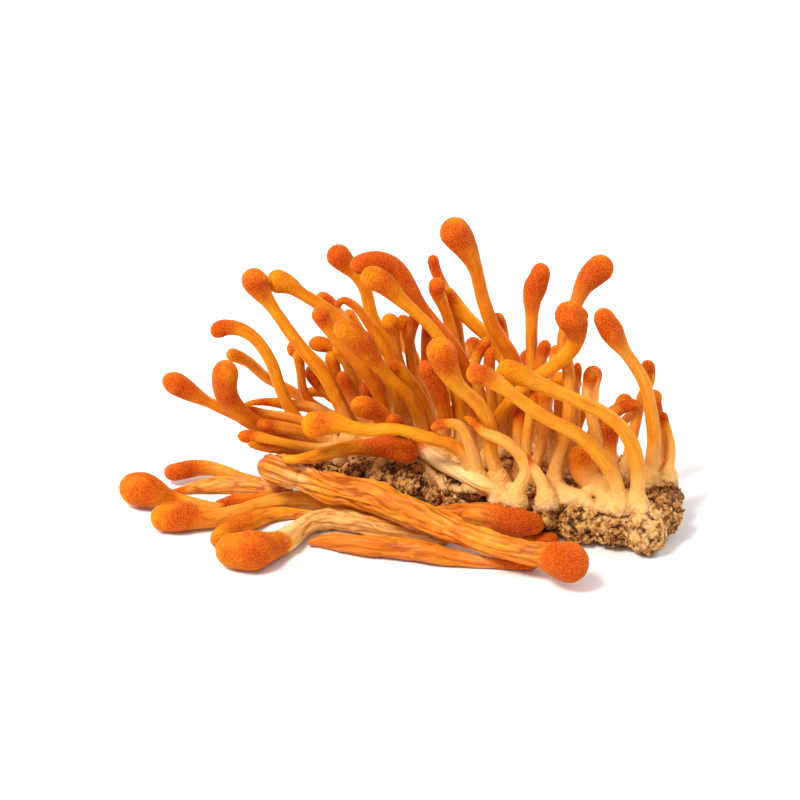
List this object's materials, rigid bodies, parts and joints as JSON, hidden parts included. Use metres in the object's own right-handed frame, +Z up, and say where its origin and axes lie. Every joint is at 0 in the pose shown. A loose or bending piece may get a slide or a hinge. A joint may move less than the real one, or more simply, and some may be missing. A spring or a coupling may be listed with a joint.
{
  "type": "bunch of cordyceps fungi",
  "caption": "Tuft of orange club-shaped fungus fruit bodies standing on a flat granular crust, with a small heap of picked clubs lying against its foot.",
  "frame": {"origin": "on the ground under the middle of the bunch's bounding box", "axes": "+Z up, away from the ground; +X along the bunch's length, with the lying heads towards -X; -Y towards the front, where the picked clubs lie"},
  "size_m": [0.1105, 0.0755, 0.0573],
  "materials": {
    "orange_club": "matte",
    "pale_stem": "matte",
    "grain_crust": "matte"
  },
  "bodies": {
    "root": {"club_arched": "orange_club", "club_ball_head": "orange_club", "club_bent_right": "orange_club", "club_curved_left": "orange_club", "club_dark_middle": "orange_club", "club_dark_tip_right": "orange_club", "club_dry_pointed": "orange_club", "club_far_left": "orange_club", "club_front_below": "orange_club", "club_front_centre": "orange_club", "club_high_left": "orange_club", "club_high_right": "orange_club", "club_hooked_left": "orange_club", "club_inner_bent": "orange_club", "club_long_front": "orange_club", "club_long_left": "orange_club", "club_outer_right": "orange_club", "club_oval_head": "orange_club", "club_pale_slim": "orange_club", "club_pointing_right": "orange_club", "club_short_arched": "orange_club", "club_slim_middle": "orange_club", "club_tallest": "orange_club", "club_thick_dark": "orange_club", "club_thin_hooked": "orange_club", "club_under_oval": "orange_club", "club_upright_right": "orange_club", "club_yellow_left": "orange_club", "club_yellow_middle": "orange_club", "clump_back_end": "orange_club", "clump_back_left": "orange_club", "clump_back_middle": "orange_club", "clump_back_right": "orange_club", "clump_forked_foot": "pale_stem", "clump_left_back": "orange_club", "clump_left_inner": "orange_club", "clump_left_low": "orange_club", "clump_left_upper": "orange_club", "clump_low_knobs": "orange_club", "clump_middle": "orange_club", "clump_middle_back": "orange_club", "clump_pale_foot": "pale_stem", "clump_right_back": "orange_club", "clump_right_end": "orange_club", "clump_right_inner": "orange_club", "clump_right_middle": "orange_club", "clump_stubs_right": "orange_club", "lying_back_left": "orange_club", "lying_dark_red": "orange_club", "lying_flat_pointed": "orange_club", "lying_front_big_head": "orange_club", "lying_grooved": "orange_club", "lying_long_top": "orange_club", "lying_lowest": "orange_club", "lying_middle_left": "orange_club", "lying_on_crust": "orange_club", "lying_outer_left": "orange_club", "lying_second_front": "orange_club", "lying_small_behind": "orange_club", "substrate_crust": "grain_crust"}
  },
  "joints": []
}
